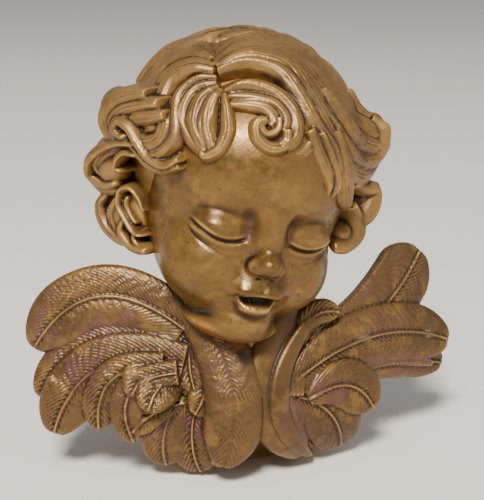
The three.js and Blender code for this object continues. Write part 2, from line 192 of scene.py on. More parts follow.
# %% Grids and skins
def closed_grid(rows):
    """Vertices and faces of a tube through the rows, with both ends closed."""
    count, around = rows.shape[:2]
    points = np.concatenate([rows.reshape(-1, 3), rows[0].mean(0)[None], rows[-1].mean(0)[None]])
    i = np.arange(count - 1)[:, None] * around
    j = np.arange(around)
    k = (j + 1) % around
    quads = np.stack([i + j, i + k, i + around + k, i + around + j], -1).reshape(-1, 4)
    last = (count - 1) * around
    first_fan = np.stack([np.full(around, len(points) - 2), k, j], -1)
    last_fan = np.stack([np.full(around, len(points) - 1), last + j, last + k], -1)
    return points, quads.tolist() + first_fan.tolist() + last_fan.tolist()


def mesh_object(name, grids):
    """One object from several closed grids, in metres and in the part's frame."""
    points, faces, offset = [], [], 0
    for some_points, some_faces in grids:
        points.append(some_points)
        faces += [[index + offset for index in f] for f in some_faces]
        offset += len(some_points)
    mesh = bpy.data.meshes.new(name)
    mesh.from_pydata(((np.concatenate(points) + SHIFT) / 1000).tolist(), [], faces)
    mesh.validate()
    piece = bpy.data.objects.new(name, mesh)
    bpy.context.collection.objects.link(piece)
    return piece


def head_grid(rings=232, around=400):
    """A polar grid whose rings crowd round the nose."""
    s = np.linspace(0.002, 0.999, rings)
    polar = np.pi * (0.45 * s + 0.55 * s**2.2)[:, None]
    turn = np.linspace(0, 2 * np.pi, around, endpoint=False)
    sideways, upwards = np.sin(polar) * np.cos(turn), np.sin(polar) * np.sin(turn)
    local = np.stack(np.broadcast_arrays(sideways, np.cos(polar), upwards), -1)
    directions = local @ turn_about("X", POLE_TURN).T
    reach = to_surface(directions, face)
    points = FACE_FROM + directions * reach[..., None]
    reach = reach - face_lines(points)
    points = FACE_FROM + directions * reach[..., None]
    return closed_grid(from_head(points))


# %% [markdown]
# ## Ribbons
# A lock and a feather are ribbons: a path over a surface, a width that swells and closes, and
# a section that is cut with strands or barbs. A curve with a bevel could carry a lock too, but
# it has one section all along, where a carved lock needs its strands to meet in the tip.

# %% Ribbons
def taper(t, root, widest, close, point):
    """Share of the full width along a ribbon: it swells from its root and closes to its tip."""
    swell = root + (1 - root) * np.sin(np.pi / 2 * np.minimum(t / widest, 1))
    narrow = np.maximum(1 - (np.maximum(t - close, 0) / (1.005 - close)) ** 2, 0)
    return swell * narrow**point


def ribbon(path, facing, width, back, root=0.5, widest=0.5, close=0.55, point=0.5, sunk=3.0, fine=0.9):
    """A closed grid along the path. back(u, s, half) is the height over the path, and sunk is
    how far the underside lies below it."""
    rough = path(np.linspace(0, 1, 60))
    length = np.linalg.norm(np.diff(rough, axis=0), axis=1).sum()
    count = max(12, int(length / fine))
    t = np.linspace(0, 1, count)
    p = path(t)
    along = unit(np.gradient(p, axis=0))
    out = facing(p)
    across = unit(np.cross(along, out))
    out = unit(np.cross(across, along))
    half = width / 2 * taper(t, root, widest, close, point) + 0.05
    columns = max(9, int(width / (fine * 0.75)))
    u = np.cos(np.linspace(0, np.pi, columns)) * 0.35 + np.linspace(1, -1, columns) * 0.65
    height = back(u[None, :], (t * length)[:, None], half[:, None])
    spread = half[:, None, None] * u[None, :, None]
    top = p[:, None] + across[:, None] * spread + out[:, None] * height[..., None]
    low_spread = half[:, None, None] * np.linspace(-0.9, 0.9, 7)[None, :, None]
    low = p[:, None] + across[:, None] * low_spread - out[:, None] * sunk
    return np.concatenate([top, low], axis=1)


def direction(longitude, latitude):
    """The way from the middle of the head to a place on it. 0 and 0 is the brow."""
    lon, lat = np.radians(longitude), np.radians(latitude)
    return v(np.sin(lon) * np.cos(lat), -np.cos(lon) * np.cos(lat), np.sin(lat))


def on_hair(directions, lift):
    """Points on the egg of the hair, lifted along the ray."""
    d = unit(directions)
    start, step = (RAYS_FROM - HAIR_CENTRE) / HAIR_RADII, d / HAIR_RADII
    a = (step * step).sum(-1)
    b = 2 * (start * step).sum(-1)
    c = start @ start - 1
    reach = (-b + np.sqrt(b * b - 4 * a * c)) / (2 * a)
    return RAYS_FROM + d * (reach + lift)[..., None]


def off_hair(p):
    return unit((p - HAIR_CENTRE) / HAIR_RADII**2)


# %% [markdown]
# ## Hair
# Carved hair is a set of thick locks that overlap, each with a round back that is cut into
# strands along its whole length. A lock's path goes through a few places on the head, each a
# longitude and a latitude, with 0 and 0 at the brow, and how far it stands off. A hair system
# would give loose single hairs, which a cast never has, so every lock is a solid ribbon. A curl
# is a lock that winds in, made of lengths that overlap.

# %% Locks
def strands(width, height, pitch=2.1, deep=0.6):
    """The height over a lock: a round back with one groove for each pitch, which wanders."""
    count = max(2, round(width / pitch))
    shift = rng.uniform(0, 6.28)
    sizes = 1 + 0.35 * np.sin(np.arange(64) * 2.4 + shift)

    def back(u, s, half):
        round_back = np.maximum(1 - np.abs(u) ** 2.2, 0) ** 0.6
        slim = np.minimum(1, half / (width * 0.3))
        wander = 0.09 * np.sin(s / 11 + shift) + 0.05 * np.sin(s / 4.7 + 2 * shift)
        turn = count * (u + wander + 1.2) / 2
        wave = np.abs(np.sin(np.pi * turn)) ** 0.7
        size = sizes[np.clip(turn.astype(int), 0, 63)]
        lobe = np.cos(3.3 * (u + wander) + shift)
        cut = deep * size * (wave - 0.7) + 0.35 * lobe
        return round_back * (height * slim + cut * np.minimum(1, half / 2.5))

    return back


def curve_through(points):
    """A smooth path through points, as a function of t from 0 to 1."""
    points = np.array(points, dtype=float)
    gaps = np.linalg.norm(np.diff(points, axis=0), axis=1)
    at = np.concatenate([[0], np.cumsum(gaps)]) / gaps.sum()
    slopes = np.gradient(points, at, axis=0)

    def path(t):
        i = np.clip(np.searchsorted(at, t, side="right") - 1, 0, len(at) - 2)
        step = (at[i + 1] - at[i])[:, None]
        f = ((t - at[i]) / (at[i + 1] - at[i]))[:, None]
        ends = points[i] * (1 + 2 * f) * (1 - f) ** 2 + points[i + 1] * f * f * (3 - 2 * f)
        return ends + slopes[i] * step * f * (1 - f) ** 2 + slopes[i + 1] * step * f * f * (f - 1)

    return path


hair = {"left": [], "right": [], "back": []}


def lock(part, way, width=9.0, height=4.0, lift=0.0, pitch=1.9, deep=0.85, **shape):
    """A lock through (longitude, latitude, how far it stands off) from root to tip."""
    spots = [on_hair(direction(*w[:2]), np.array(float(w[2] if len(w) > 2 else 0) + lift)) for w in way]
    rows = ribbon(curve_through(spots), off_hair, width, strands(width, height, pitch, deep), **shape)
    hair[part].append(closed_grid(from_head(rows)))


def mound(centre, radii, around=72):
    """A rounded mass."""
    lat = np.linspace(0.02, np.pi - 0.02, around // 2)[:, None]
    lon = np.linspace(0, 2 * np.pi, around, endpoint=False)
    ball = (np.sin(lat) * np.cos(lon), np.sin(lat) * np.sin(lon), np.cos(lat))
    ball = np.stack(np.broadcast_arrays(*ball), -1)
    return closed_grid(centre + ball[:, ::-1] * radii)


def bead(part, longitude, latitude, stand, radius):
    """A ball that fills the heart of a curl."""
    centre = from_head(on_hair(direction(longitude, latitude), np.array(float(stand))))
    hair[part].append(mound(centre, v(1, 1, 1) * radius))


# %% [markdown]
# ## Hair from the parting to the right
# The parting lies left of the middle. From it a broad mass of hair goes over the crown to the
# right and flicks up in a point, over two curls, and one large curl rolls in over the forehead.
# The broad locks share their groove width, so it is written once.

# %% Hair on the right
BROAD = {"deep": 1.0, "pitch": 2.2}

# The cap of hair over the skull
cap = mound(v(0, 0, 0), v(56, 57, 58), 200)
hair["back"].append((from_head(cap[0] + v(0, 15, 22)), cap[1]))

# The broad mass from the parting over the crown to the right
lock("right", [(-78, 62), (-100, 80), (66, 84), (62, 66), (68, 50), (80, 30, 2)],
     30, 4, lift=-2.5, **BROAD, root=0.35, close=0.8)
lock("right", [(-70, 60), (-72, 78), (50, 84), (50, 67), (54, 52), (66, 40, 2), (73, 33, 13)],
     26, 4, lift=-2, **BROAD, root=0.35)
lock("right", [(-64, 58), (-49, 73), (2, 75), (26, 62), (35, 48), (42, 34, 1), (46, 18, 2.5)],
     24, 4, lift=-1.5, **BROAD, root=0.35)
lock("right", [(-60, 57), (-42, 69), (-4, 70), (16, 58), (24, 45), (33, 30, 1.5), (37, 14, 3)],
     18, 4, lift=-1, **BROAD, root=0.4, close=0.7)
lock("right", [(-56, 55), (-36, 64), (-8, 63.5), (7, 54), (15, 42, 1), (25, 31, 2.5), (31, 19, 3)],
     10, 5, lift=-0.5, root=0.4, close=0.7, sunk=6)
lock("right", [(30, 40), (37, 26), (41, 12, 1), (46, 2, 1)], 15, 4, lift=1.5, close=0.6, point=0.8)

# The large curl over the forehead, right of the parting
lock("right", [(-44, 48), (-28, 54), (-9, 52), (1, 43, 1.5), (0, 34, 3), (-7, 29.5, 3.5)],
     11, 6.5, lift=-1.5, sunk=5, root=0.35, close=0.9)
lock("right", [(-4, 37), (-4, 31), (-11, 28.5), (-18, 32), (-19, 37), (-14, 39.5)],
     8, 6.5, lift=2, sunk=5, root=0.8, close=0.8)
lock("right", [(-40, 46), (-24, 48.5), (-10, 47, 1), (-4, 41, 2), (-6, 35, 2.5)],
     9, 5.5, lift=-1, sunk=5, root=0.5, close=0.9)
lock("right", [(-38, 43), (-26, 45, 1), (-16, 44.5, 2), (-11, 40.5, 2.5), (-13, 36, 3)],
     8, 5, lift=-1, sunk=5, root=0.5, close=0.9)
lock("right", [(-9, 41), (-9, 36), (-14, 33.5), (-17.5, 36.5), (-14.5, 39.5)],
     5, 6, lift=2.5, sunk=5, root=0.8, close=0.85)
lock("right", [(-14, 28), (-4, 26.5), (6, 28), (12, 33), (15, 40)], 8, 4.5, lift=1, root=0.5, close=0.8)
bead("right", -11, 39, -5, 10)
lock("right", [(10, 39), (17, 30), (23, 21), (27, 8)], 10, 5, lift=2, root=0.6, close=0.45, point=1)
lock("right", [(16, 38), (23, 28), (29, 18), (30, 8)], 7, 5, lift=2.5, root=0.6, close=0.45, point=1)

# The lock that flicks up at the right
lock("right", [(28, 58), (42, 44), (62, 33, 1), (73, 29, 8), (73, 35, 16)],
     14, 5, root=0.4, close=0.6, point=0.7, sunk=8)
lock("right", [(28, 47), (40, 34), (62, 25, 1), (73, 26, 8), (73, 33, 15)],
     13, 5, root=0.4, close=0.6, point=0.7, sunk=9)
lock("right", [(28, 40), (38, 26), (57, 19, 1), (72, 21, 4), (74, 29, 10)],
     13, 5, root=0.5, close=0.6, point=0.8, sunk=8)
lock("right", [(90, 52), (84, 42, 2), (80, 36, 8), (76, 34, 14)],
     18, 5, root=0.5, close=0.6, point=0.8, sunk=9)

# Two curls below it
lock("right", [(50, 16), (66, 12, 2), (72, 9, 8), (70, 0, 9), (69, -6, 5)],
     9, 5, root=0.6, close=0.85, sunk=8)
lock("right", [(72, 12, 7), (78, 6, 9), (75, -1, 9), (70, 2, 9), (72, 7, 10)],
     7, 5, root=0.8, close=0.8, sunk=8)
lock("right", [(58, 4), (68, -4, 4), (69, -11, 8), (67, -18, 6), (62, -21, 1)],
     9, 5, root=0.6, close=0.8, sunk=8)
bead("right", 73, 5, 5, 6)
bead("right", 70, -13, 2, 7)

# %% [markdown]
# ## Hair from the parting to the left
# Here a mass hangs over the side of the head, a wave rolls down past the temple, and a forelock
# of finer strands swings out and comes together in a tip.

# %% Hair on the left
# The mass left of the parting
lock("left", [(-74, 60), (-108, 60), (-121, 48, 3), (-119, 39, 3), (-113, 31, 3)],
     24, 5, lift=-2, **BROAD, root=0.4, close=0.75)
lock("left", [(-70, 59), (-96, 58), (-110, 48), (-106, 38), (-98, 28)],
     20, 5, lift=-1, **BROAD, root=0.4, close=0.75)
lock("left", [(-66, 58), (-86, 56), (-99, 47), (-93, 37), (-86, 27)],
     15, 5, root=0.4, close=0.7, deep=0.55)
lock("left", [(-60, 56), (-76, 53), (-86, 44), (-82, 33), (-74, 24)], 13, 5, root=0.4, close=0.8)

# The wave that rolls down past the temple and up into a curl
lock("left", [(-56, 54), (-70, 50), (-78, 43), (-76, 33), (-66, 26), (-66, 20), (-74, 15), (-86, 18, 1)],
     11, 7, root=0.4, close=0.9, sunk=6)
lock("left", [(-52, 52), (-62, 48), (-67, 39), (-63, 31), (-59, 23), (-64, 15), (-74, 11), (-84, 13)],
     9, 6, root=0.4, close=0.75, sunk=5)
lock("left", [(-72, 30), (-73, 24), (-80, 22), (-90, 27, 2)], 9, 6, root=0.5, close=0.85, sunk=7)

# The forelock left of the parting: fine strands that swing out and come together in a tip
FORELOCK = {"pitch": 1.6, "root": 0.4, "close": 0.7, "sunk": 6}
lock("left", [(-50, 50), (-60, 43), (-60, 33), (-51, 25), (-38, 18)], 9, 5, point=0.8, **FORELOCK)
lock("left", [(-48, 49), (-54, 41), (-53, 32), (-46, 24), (-37, 16.5)], 11, 5.5, point=0.8, **FORELOCK)
lock("left", [(-46, 48), (-47, 39), (-45, 30), (-40, 23), (-37, 16)], 12, 6, point=0.8, **FORELOCK)
lock("left", [(-42, 46, 1), (-36, 38, 1), (-33, 30, 1), (-36, 22, 1), (-41, 19, 1), (-43, 24, 1)],
     8, 6, point=0.9, **FORELOCK)

# %% [markdown]
# ## Curls beside the left ear
# These curls stand away from the head and are seen from the front, wound like the ends of a
# scroll. On the egg of the hair they would be seen on edge, so they are drawn by x and z on a
# sheet that goes back beside the head, and they face the front left.

# %% Curls beside the ear
CURL_FACING = unit(v(-0.6, -0.8, 0))


def beside(x, z):
    """How far back the sheet lies."""
    return -10 - 12 * ease(z, 140, 160) - 1.4 * (x + 50)


def side_lock(way, width, height, deep=0.8, **shape):
    """A lock beside the ear, through places by x and z."""
    spots = [v(x, beside(x, z), z) for x, z in way]
    back = strands(width, height, 1.7, deep)
    shape = {"root": 0.5, "close": 0.75, "sunk": 11, **shape}
    rows = ribbon(curve_through(spots), lambda p: CURL_FACING + 0 * p, width, back, **shape)
    hair["left"].append(closed_grid(rows))


# The end of the wave, which hooks round a small eye, and the mass above it
side_lock([(-38, 164), (-43, 159.5), (-49, 162), (-53, 168), (-57, 175), (-60, 176.5), (-62, 173),
           (-59, 170), (-56, 171.5)], 7.5, 5.5)
side_lock([(-38, 160), (-44, 156.5), (-49.5, 158.5), (-54.5, 164), (-59, 169), (-63, 170)], 6, 4)
side_lock([(-50, 191), (-58, 189), (-64, 183), (-66, 176), (-63.5, 169.5), (-60, 168)], 9, 4)
side_lock([(-46, 187), (-55, 185), (-61, 181), (-63.5, 176), (-62.5, 171.5)], 9, 3.5)
side_lock([(-44, 182), (-51, 180), (-56, 178)], 8, 3)

# The curl beside the temple, hollow in the middle
side_lock([(-54, 167), (-60.5, 166.5), (-67.5, 162), (-72, 154.5), (-71, 147.5), (-65.5, 143.5),
           (-59, 146)], 7, 5.5, close=0.85)
side_lock([(-57, 164), (-62.5, 163), (-68, 158), (-69.5, 153), (-67, 148)], 6, 3)
side_lock([(-53, 162), (-58.5, 162), (-61, 159), (-61, 154), (-58, 152.5)], 5, 5.5)
side_lock([(-71, 144.5), (-66, 140.5), (-59, 142)], 6, 4)

# The curl behind the cheek, and the ear between the two
side_lock([(-64.5, 139), (-67.5, 132), (-66, 124), (-60, 117.5), (-56, 116)], 8, 4.5)
side_lock([(-61, 137), (-63, 130), (-61.5, 122), (-57, 117)], 6, 3.5)
side_lock([(-57.5, 128.5), (-59, 122), (-56, 116), (-48, 114)], 6, 5.5)
side_lock([(-51, 123), (-54, 120), (-52.5, 116.5), (-48, 115)], 4.5, 4)
side_lock([(-49.5, 133.5), (-51, 139), (-55, 144), (-58.5, 141.5), (-59.5, 135.5), (-57, 129),
           (-53, 122.5), (-49.5, 121.5)], 4.2, 5.5, deep=0)
side_lock([(-53, 126.5), (-55.5, 130.5), (-57, 136), (-56, 140)], 3.2, 3, deep=0)

# Rounded masses that fill the curls from behind
for x, z, tall in ((-57, 178, 12), (-61, 154, 13), (-55, 128, 14)):
    hair["left"].append(mound(v(x, 13, z), v(10, 16, tall)))

# %% [markdown]
# ## The back of the head
# The back isn't seen, so it is kept in the same manner but plainer: four rows of waves that
# overlap like tiles, from the nape up to the crown. Each row is one loop, and neighbours swing
# to opposite sides and lie at two depths, so that every wave shows its edge.

# %% Hair at the back
FIRST_WAVE, WAVES_SPAN, SWING = 98, 154, 7
rows_of_waves = (
    ((10, -8, -24, -40), 13, 5.5),
    ((46, 28, 8, -10), 12, 5.5),
    ((72, 56, 40, 20), 10, 5.5),
    ((86, 76, 64, 50), 8, 3.6),
)
for latitudes, count, height in rows_of_waves:
    for i in range(count):
        lon = FIRST_WAVE + WAVES_SPAN * i / (count - 1)
        side = SWING if i % 2 else -SWING
        longitudes = (lon + 0.8 * side, lon + side, lon - side, lon + 0.4 * side)
        way = list(zip(longitudes, latitudes))
        lock("back", way, 21, height, lift=-3 + 1.6 * (i % 2), pitch=2.6, deep=1.1, root=0.4, close=0.66)
print("locks", {part: len(skins) for part, skins in hair.items()})

# %% [markdown]
# ## Wings
# The wings are folded like two scrolls of leaves. The feathers lie on a sheet that goes back
# towards the tips. Each has a raised quill, and barbs that run out from the quill towards the
# tip. An image of barbs could stand for them from afar, but here they are cut in the form,
# because the worn paint follows their edges. A feather goes from one place to another by x and
# z. Its bow bends it to the left of that way, and its lift says how far root and tip stand off.

# %% Feathers
def sheet(x, z):
    """How far back the sheet of the wings lies."""
    outwards = 36 * np.minimum(np.abs(x) / 105, 1.2) ** 1.3
    return -WING_FRONT + outwards + 0.25 * np.maximum(0, z - 45) + 0.02 * np.maximum(0, 28 - z) ** 2


def off_sheet(p):
    x, z = p[:, 0], p[:, 2]
    dx = (sheet(x + 1, z) - sheet(x - 1, z)) / 2
    dz = (sheet(x, z + 1) - sheet(x, z - 1)) / 2
    return unit(np.stack([dx, -np.ones_like(dx), dz], -1))


def barbs(width, crown, quill, cut):
    """The height over a leaf: a dip beside the quill, a round edge and slanted barbs."""
    pitch, wander = rng.uniform(2.4, 2.9), rng.uniform(0, 6.28)

    def back(u, s, half):
        across = np.abs(u) * half
        slim = np.minimum(1, half / (width * 0.25))
        belly = crown * slim * (np.maximum(1 - np.abs(u) ** 3.2, 0) ** 0.5)
        dip = -0.9 * quill * np.exp(-((across / 3.2) ** 2))
        rib = 1.6 * quill * np.exp(-((across / 0.75) ** 4)) * slim
        phase = (s - 1.15 * across - 0.03 * across**2 + 0.9 * np.sin(s / 11 + wander)) / pitch
        wave = np.abs(np.cos(np.pi * phase)) ** 0.7
        off_quill = 1 - np.exp(-((across / 1.3) ** 4))
        edge = np.minimum(1, (1 - np.abs(u)) * half / 1.6)
        return belly + dip + rib + 1.9 * cut * (wave - 0.6) * off_quill * np.clip(edge + 0.25, 0, 1)

    return back


wings = {"left": [], "right": []}


def feather(side, start, end, width=20, bow=0.0, lift=(0, 0), thick=8.0, crown=3.0, quill=1.0, cut=1.0,
            **shape):
    (x0, z0), (x1, z1) = start, end

    def path(t):
        drift = bow * 4 * t * (1 - t)
        x = x0 + (x1 - x0) * t - drift * (z1 - z0)
        z = z0 + (z1 - z0) * t + drift * (x1 - x0)
        return np.stack([x, sheet(x, z) - (lift[0] + (lift[1] - lift[0]) * t), z], -1)

    shape.setdefault("close", 0.72)
    rows = ribbon(path, off_sheet, width, barbs(width, crown, quill, cut), sunk=thick * 0.7, fine=0.75,
                  **shape)
    wings[side].append(closed_grid(rows))


# %% [markdown]
# ## The left wing
# Two long feathers with a shorter one between them sweep out, and below them shorter ones roll
# in towards a small coil. A plump roll without a quill comes down in front from the cheek.

# %% Left wing
# Two long feathers with a short one showing between them
feather("left", (-34, 76), (-104, 64), width=31, bow=-0.29, root=0.8)
feather("left", (-38, 64), (-103, 40), width=24, bow=-0.2, lift=(0, -2), root=0.8)
feather("left", (-36, 60), (-97, 22), width=29, bow=-0.25, lift=(3, 1), root=0.7)

# Shorter ones that roll in towards a small coil over the foot
feather("left", (-46, 60), (-76, 27), width=19, bow=-0.28, lift=(6, 4), root=0.7)
feather("left", (-40, 58), (-60, 22), width=17, bow=-0.34, lift=(8, 6), root=0.7)
feather("left", (-25, 56), (-62, 46), width=21, bow=-0.28, lift=(-6, 10), root=0.5)
feather("left", (-27, 51), (-56, 41), width=21, bow=-0.25, lift=(-6, 15), root=0.4, widest=0.65,
        close=0.66, cut=1.2)
feather("left", (-34, 42), (-62, 27), width=15, bow=-0.12, lift=(0, 7), root=0.3)
feather("left", (-36, 44), (-44, 8), width=22, bow=-0.16, lift=(0, 5), root=0.4)
feather("left", (-30, 40), (-27, 4), width=23, bow=-0.12, lift=(-1, 6), root=0.4)

# Two small leaves that fill the place beside the roll
feather("left", (-30, 74), (-31, 47), width=17, bow=-0.08, lift=(-2, 2), root=0.6, close=0.6)
feather("left", (-27, 60), (-33, 36), width=15, bow=0.12, lift=(-1, 4), root=0.5, close=0.6)

# The plump roll that comes down from under the cheek, and a leaf that lies on it
feather("left", (-36, 92), (-20, 13), width=30, bow=0.17, lift=(-8, 6), thick=18, crown=9, quill=0.0,
        root=0.7, widest=0.6, close=0.8, cut=0.7)
feather("left", (-24, 50), (-24, 11), width=15, bow=0.28, lift=(3, 8), thick=10, crown=4, quill=0.0,
        root=0.3, close=0.7, cut=0.8)

# %% [markdown]
# ## The right wing
# Two long feathers rise and spread, one more rolls up below them, and a smooth rim curves down
# from under the cheek. The rim, its inner side and the valley beside it have no quill, so they
# share those values.

# %% Right wing
# Two long feathers, and the fold of one below them
feather("right", (20, 66), (99, 99), width=37, bow=-0.15, root=0.35, widest=0.85, close=0.84)
feather("right", (40, 50), (113, 36), width=21, bow=0.05, lift=(-2, -2), root=0.8)
feather("right", (17, 50), (115, 49), width=31, bow=0.13, lift=(3, 3), root=0.55)
feather("right", (34, 42), (104, 39), width=8, bow=0.12, lift=(1, 3), crown=2, quill=0.0, root=0.4)

# One that rolls up, one below it, and a small leaf under the cheek
feather("right", (24, 40), (61, 27), width=26, bow=0.26, lift=(4, 8), root=0.4)
feather("right", (18, 42), (46, 6), width=32, bow=0.14, lift=(2, 4), root=0.5, close=0.65)
feather("right", (22, 66), (43, 79), width=13, bow=0.32, lift=(2, 8), root=0.5)

# Quills that sweep down together beside the rim
SLIM = {"thick": 5, "crown": 1.6, "quill": 0.0, "root": 0.3, "close": 0.8, "cut": 0.0}
for i in range(5):
    root_at = (22 + 5 * i, 70 - 0.8 * i)
    tip_at = (11 + 2.2 * i, 44 - 0.4 * i)
    feather("right", root_at, tip_at, width=4.4, bow=-0.24, lift=(0, 6), **SLIM)

# The smooth rim from under the right cheek, and its broad inner side
SMOOTH = {"thick": 14, "quill": 0.0, "close": 0.6}
feather("right", (30, 80), (30, 5), width=11, bow=-0.3, lift=(5, 6), crown=3, root=0.6, cut=0.15,
        **SMOOTH)
feather("right", (22, 84), (24, 8), width=27, bow=-0.24, lift=(-2, 2), crown=6, root=0.7, cut=0.15,
        **SMOOTH)

# Flat barbs in the valley between the wings
feather("left", (0, 78), (0, 26), width=18, lift=(-4, -2), crown=2, root=0.9, cut=0.6, **SMOOTH)
print("feathers", {side: len(skins) for side, skins in wings.items()})

# %% [markdown]
# ## The body behind the wings
# Rounded masses carry the wings, the neck and the plain back, which reaches the ground. Only a
# little of them is seen between the feathers from the front, so plain eggs are enough, and the
# fusing below takes the creases between them away.

# %% The body
body = []
for sign in (-1, 1):
    body.append(mound(v(sign * FOOT_SPACING / 2, -6, 26), v(FOOT_WIDTH * 0.5, FOOT_DEPTH * 0.6, 28)))
    body.append(mound(v(sign * 42, -3, 54), v(36, 11, 22)))
body.append(mound(v(-31, -19, 52), v(17, 10, 24)))
body.append(mound(v(0, 3, 28), v(FOOT_SPACING * 0.78, FOOT_DEPTH * 0.62, 37)))
body.append(mound(v(0, -8, 52), v(34, 26, 32)))
body.append(mound(v(-1, 2, 78), v(33, 35, 26)))
body.append(mound(v(0, 8, 62), v(36, 27, 28)))
for sign in (-1, 1):
    body.append(mound(v(sign * 27, 4, 60), v(26, 22, 24)))
print("masses in the body", len(body))

# %% [markdown]
# ## Fusing
# A cast is one skin, so the shapes of a group shouldn't pass through each other. A boolean union
# of a hundred carved locks is slow and fragile. A voxel remesh fills the closed shapes and skins
# them once. Each skin is then smoothed a little, thinned where it has too many triangles, and
# kept inside the solid's box. The plain back has large voxels and many smoothing steps, which
# melt its masses together.

# %% Fusing
def fuse(piece, voxel, most_triangles, smooth):
    """One skin from all closed shapes in the piece, with voxels in millimetres."""
    bpy.ops.object.select_all(action="DESELECT")
    piece.select_set(True)
    bpy.context.view_layer.objects.active = piece
    remesh = piece.modifiers.new("One skin", "REMESH")
    remesh.mode = "VOXEL"
    remesh.voxel_size = voxel / 1000
    bpy.ops.object.modifier_apply(modifier=remesh.name)
    soften = piece.modifiers.new("Soften", "SMOOTH")
    soften.factor = 0.4
    soften.iterations = smooth
    bpy.ops.object.modifier_apply(modifier=soften.name)
    triangles = sum(len(p.vertices) - 2 for p in piece.data.polygons)
    if triangles > most_triangles:
        thin = piece.modifiers.new("Thin out", "DECIMATE")
        thin.ratio = most_triangles / triangles
        bpy.ops.object.modifier_apply(modifier=thin.name)


low_corner, high_corner = (np.array(corner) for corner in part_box("winged_putto_head"))


def keep_inside(piece, margin=0.0001):
    """No point leaves the solid's box, so the underside is flat on the ground."""
    points = np.empty(len(piece.data.vertices) * 3)
    piece.data.vertices.foreach_get("co", points)
    points = np.clip(points.reshape(-1, 3), low_corner + [margin, margin, 0], high_corner - margin)
    piece.data.vertices.foreach_set("co", points.ravel())
    piece.data.update()


coarse = 1.0
HAIR_SKIN = (0.5 * coarse, 150000, 1)
BACK_HAIR_SKIN = (0.7 * coarse, 110000, 2)
WING_SKIN = (0.5 * coarse, 170000, 1)
BODY_SKIN = (2.4, 40000, 130)
pieces = {}
pieces["putto_face"] = mesh_object("putto_face", [head_grid()])
for part in ("left", "right", "back"):
    pieces["hair_" + part] = mesh_object("hair_" + part, hair[part])
pieces["left_wing"] = mesh_object("left_wing", wings["left"])
pieces["right_wing"] = mesh_object("right_wing", wings["right"])
pieces["neck_and_back"] = mesh_object("neck_and_back", body)
fuse(pieces["hair_left"], *HAIR_SKIN)
fuse(pieces["hair_right"], *HAIR_SKIN)
fuse(pieces["hair_back"], *BACK_HAIR_SKIN)
fuse(pieces["left_wing"], *WING_SKIN)
fuse(pieces["right_wing"], *WING_SKIN)
fuse(pieces["neck_and_back"], *BODY_SKIN)
print("skins", ", ".join(pieces))

# %% [markdown]
# ## Hollows and edges
# The paint is pale on the edges, partly as gold rubbed bright and partly as painted highlight,
# and the hollows are darkened as painted shade. So each point keeps how hollow or how proud it
# is, once for the fine strands and once for the broad form, as attributes that the material
# reads. A smoothed copy of the points is worked out, and a point's height over that copy says
# whether it lies on an edge or in a hollow.

# %% Hollows and edges
FINE_STEPS, BROAD_STEPS = 6, 36
FINE_SIZE, BROAD_SIZE, PLAIN_BROAD_SIZE = 0.25, 1.2, 6.0


def note_relief(piece, broad_size):
    """Stores the two heights, each as a share of its size in millimetres, from -1 to 1."""
    mesh = piece.data
    count = len(mesh.vertices)
    points = np.empty(count * 3)
    mesh.vertices.foreach_get("co", points)
    points = points.reshape(-1, 3) * 1000
    normals = np.empty(count * 3)
    mesh.vertex_normals.foreach_get("vector", normals)
    normals = normals.reshape(-1, 3)
    edges = np.empty(len(mesh.edges) * 2, dtype=int)
    mesh.edges.foreach_get("vertices", edges)
    edges = edges.reshape(-1, 2)
    both = np.concatenate([edges, edges[:, ::-1]])
    degree = np.maximum(np.bincount(both[:, 0], minlength=count), 1)

    def average(a):
        sums = [np.bincount(both[:, 0], a[both[:, 1], k], count) for k in range(a.shape[1])]
        return np.stack(sums, -1) / degree[:, None]

    soft = points
    for step in range(BROAD_STEPS):
        soft = 0.5 * soft + 0.5 * average(soft)
        if step == FINE_STEPS - 1:
            fine = ((points - soft) * normals).sum(-1)
    broad = ((points - soft) * normals).sum(-1)
    for name, values, size in (("fine", fine, FINE_SIZE), ("broad", broad, broad_size)):
        values = average(np.clip(values / size, -1, 1)[:, None])[:, 0]
        layer = mesh.attributes.new(name, "FLOAT", "POINT")
        layer.data.foreach_set("value", values.astype(np.float32))


# %% [markdown]
# ## Paint
# Gold over purple-brown, thin in patches, with painted shade in the hollows and pale edges that
# are partly rubbed gold and partly painted highlight. The material is built in layers: the real
# paint in the order in which it lies on the piece, with the painted shade and highlight laid in
# among it. Each layer is a colour and a mask, and a mask comes from the relief, from a cloud of
# noise in the piece's own coordinates, or from listed places where the gold has come off, where
# an orange line runs and where shadow is painted. The skin is smoother than the hair and
# feathers, and has fine specks and stains.

# %% Paint
# The pale gold stands both for gold rubbed bright on the edges and for painted highlight
WARM_GOLD, RUBBED_GOLD_AND_HIGHLIGHT = (0.40, 0.215, 0.048), (0.58, 0.34, 0.10)
# Painted shade: brown in the broad hollows, near black in the grooves, darkest in the deepest gaps
BROAD_PAINTED_SHADE, GROOVE_PAINTED_SHADE, DEEP_PAINTED_SHADOW = (0.040, 0.019, 0.008), (0.030, 0.015, 0.007), (0.022, 0.011, 0.007)
PURPLE_SHADE, PURPLE_GROUND = (0.13, 0.042, 0.050), (0.15, 0.055, 0.066)
# The orange is for a line under the chin
ORANGE_LINE, VERDIGRIS = (0.34, 0.10, 0.02), (0.42, 0.42, 0.30)
SPECK, STAIN = (0.06, 0.035, 0.016), (0.10, 0.06, 0.03)


